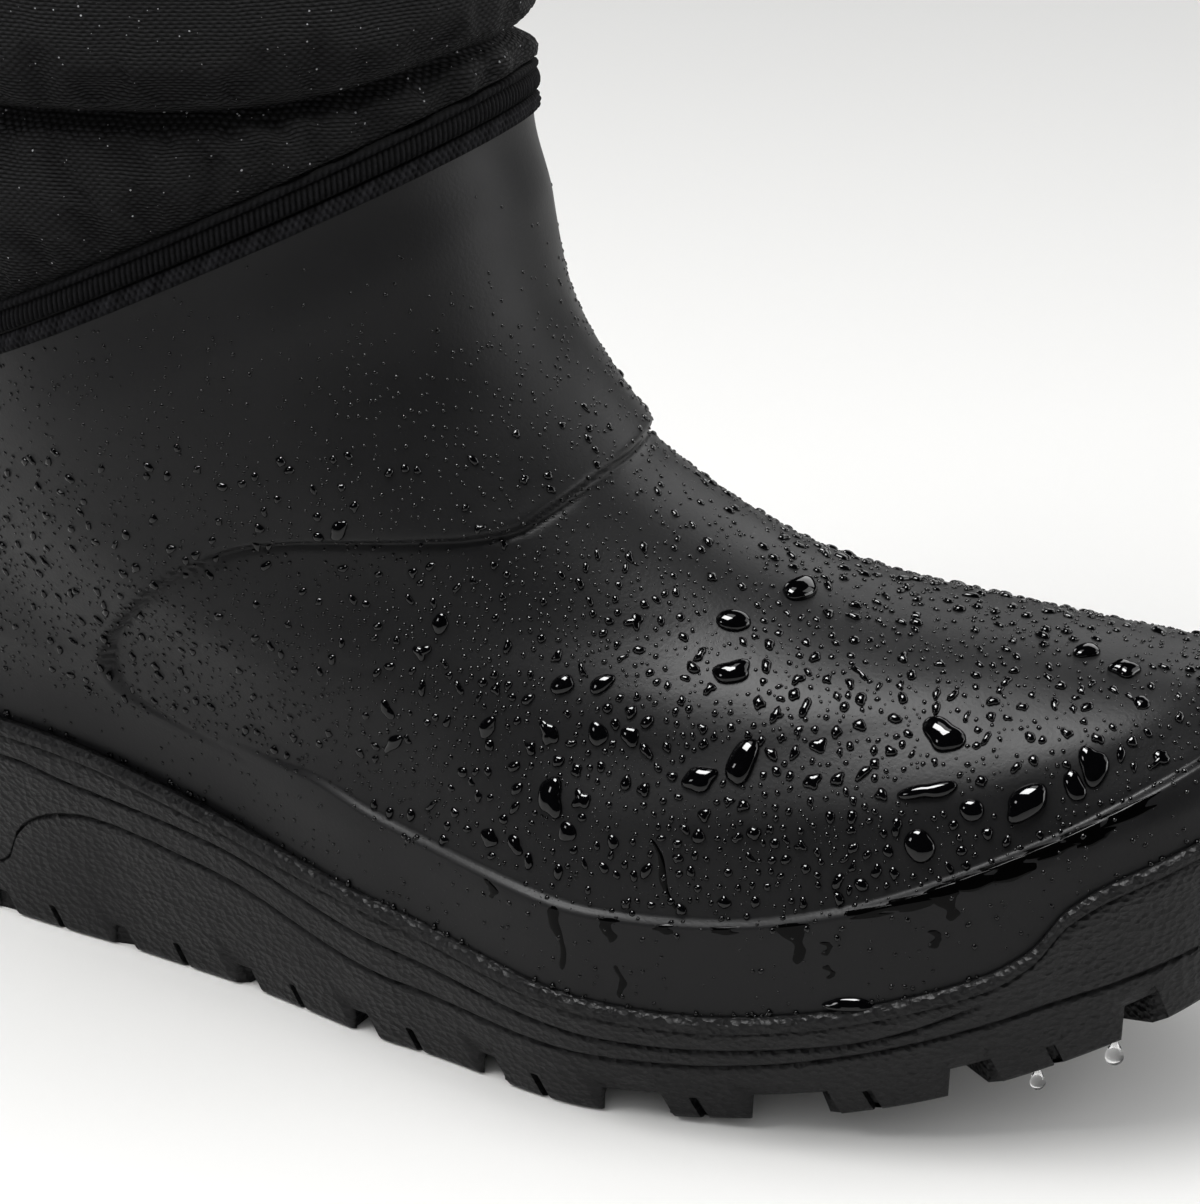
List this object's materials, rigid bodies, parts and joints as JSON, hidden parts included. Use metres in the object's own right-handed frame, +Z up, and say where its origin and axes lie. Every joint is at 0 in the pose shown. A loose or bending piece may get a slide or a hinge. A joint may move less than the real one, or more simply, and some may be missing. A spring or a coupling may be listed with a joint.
{
  "type": "snow boot",
  "caption": "Pull-on winter boot: moulded rubber shell in a cupped lugged sole, with a padded woven shaft, taped seam, bound collar and footbed.",
  "frame": {"origin": "on the floor under the middle of the boot", "axes": "+X towards the toe, +Z up, -Y towards the outer side of the right foot"},
  "size_m": [0.3, 0.121, 0.256],
  "materials": {
    "sole": "matte moulded rubber with a fine grain",
    "shell": "satin moulded rubber",
    "shaft": "coarse woven nylon over padding",
    "edge_tape": "knitted binding tape",
    "seam_tape": "ribbed grosgrain tape",
    "collar_binding": "ribbed grosgrain tape",
    "insole": "felted fleece over foam"
  },
  "bodies": {
    "root": {"sole": "sole", "shell": "shell", "shaft": "shaft", "edge_tape": "edge_tape", "seam_tape": "seam_tape", "collar_binding": "collar_binding", "insole": "insole"}
  },
  "joints": []
}
